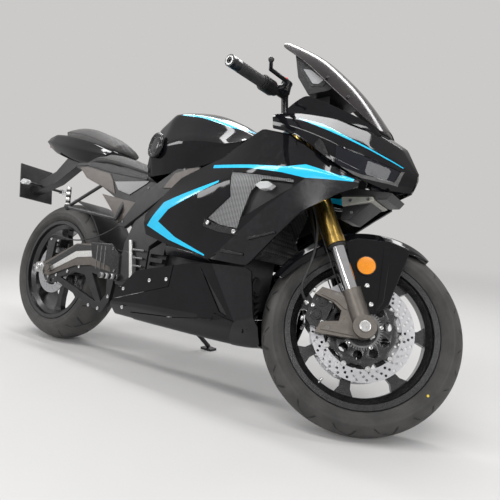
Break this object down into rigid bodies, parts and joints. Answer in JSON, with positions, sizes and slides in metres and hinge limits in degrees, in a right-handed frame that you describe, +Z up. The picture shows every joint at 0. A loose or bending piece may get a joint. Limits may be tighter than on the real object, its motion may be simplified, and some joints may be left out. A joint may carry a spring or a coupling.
{
  "type": "sport motorcycle",
  "caption": "Fully faired sport motorcycle leaning on its side stand, steering turned to the left stop, with spoked wheels, upside-down fork and separate seats.",
  "frame": {"origin": "on the floor under the middle of the motorcycle's bounding box, as it stands on its side stand", "axes": "+X towards the front wheel, +Y to the motorcycle's left, the side it leans to, +Z up from the floor"},
  "size_m": [2.1468, 0.6427, 1.2381],
  "materials": {
    "bare_steel": "brushed",
    "black_cast": "satin black",
    "bright_steel": "polished",
    "clear_lens": "clear",
    "core_grey": "finned",
    "cover_brown": "satin",
    "disc_steel": "drilled rotor",
    "frame_black": "satin",
    "gloss_black": "gloss",
    "gold": "anodised gold",
    "gunmetal": "satin",
    "lamp_lens": "smoked",
    "mesh_grey": "fine mesh",
    "orange_lens": "reflective",
    "red_lens": "red",
    "satin_black": "satin",
    "seat_cover": "matt grained",
    "smoked_screen": "dark tint",
    "soft_rubber": "matt",
    "tyre_rubber": "worn matt"
  },
  "bodies": {
    "chassis": {"side_fairings": "gloss_black", "side_mesh_panels": "mesh_grey", "belly_pan": "gloss_black", "front_cowl": "gloss_black", "headlamps": "lamp_lens", "windscreen": "smoked_screen", "instrument_display": "satin_black", "main_frame": "frame_black", "power_unit": "frame_black", "finned_cover": "frame_black", "radiator": "core_grey", "nose_stay": "frame_black", "nose_bracket": "core_grey", "tank_cover": "gloss_black", "rider_seat": "seat_cover", "pillion_seat": "seat_cover", "tail_cowl": "gloss_black", "seat_frame": "cover_brown", "plate_hanger": "satin_black", "swingarm": "gunmetal", "swingarm_braces": "satin_black", "rear_mudguard": "satin_black", "rear_caliper": "black_cast", "footrests": "gunmetal", "rear_axle_and_pivot_bolt": "bare_steel", "chain_and_front_sprocket": "bare_steel", "indicators": "clear_lens", "tail_lamp": "red_lens", "side_cap": "satin_black"},
    "steering": {"fork_tubes": "gold", "fork_stanchions": "bright_steel", "fork_feet": "gunmetal", "front_calipers": "black_cast", "lower_yoke": "black_cast", "upper_yoke": "black_cast", "handlebars": "black_cast", "grips": "soft_rubber", "switch_housings": "satin_black", "brake_levers": "black_cast", "front_mudguard": "gloss_black", "fork_reflectors": "orange_lens", "front_axle": "bare_steel", "front_brake_hoses": "soft_rubber"},
    "front_wheel": {"front_rim": "black_cast", "front_tyre": "tyre_rubber", "front_discs": "disc_steel"},
    "rear_wheel": {"rear_rim": "black_cast", "rear_tyre": "tyre_rubber", "rear_disc": "disc_steel", "rear_sprocket": "bare_steel"},
    "side_stand": {"side_stand": "frame_black"}
  },
  "joints": [
    {"name": "steering_turn", "type": "hinge", "parent": "chassis", "child": "steering", "pos_m": [0.48451, 0.01731, 0.81178], "axis": [-0.4562, 0.1784, 0.8718], "range_deg": [-56, 0]},
    {"name": "front_wheel_spin", "type": "hinge", "parent": "steering", "child": "front_wheel", "pos_m": [0.79486, -0.07431, 0.28177], "axis": [-0.4189, 0.8213, -0.3873], "continuous": true},
    {"name": "rear_wheel_spin", "type": "hinge", "parent": "chassis", "child": "rear_wheel", "pos_m": [-0.63635, -0.08701, 0.31067], "axis": [-0.0013, 0.9796, -0.2011], "continuous": true},
    {"name": "side_stand_fold", "type": "hinge", "parent": "chassis", "child": "side_stand", "pos_m": [-0.07704, 0.046, 0.19918], "axis": [0.1915, 0.7499, 0.6332], "range_deg": [0, 107]}
  ]
}
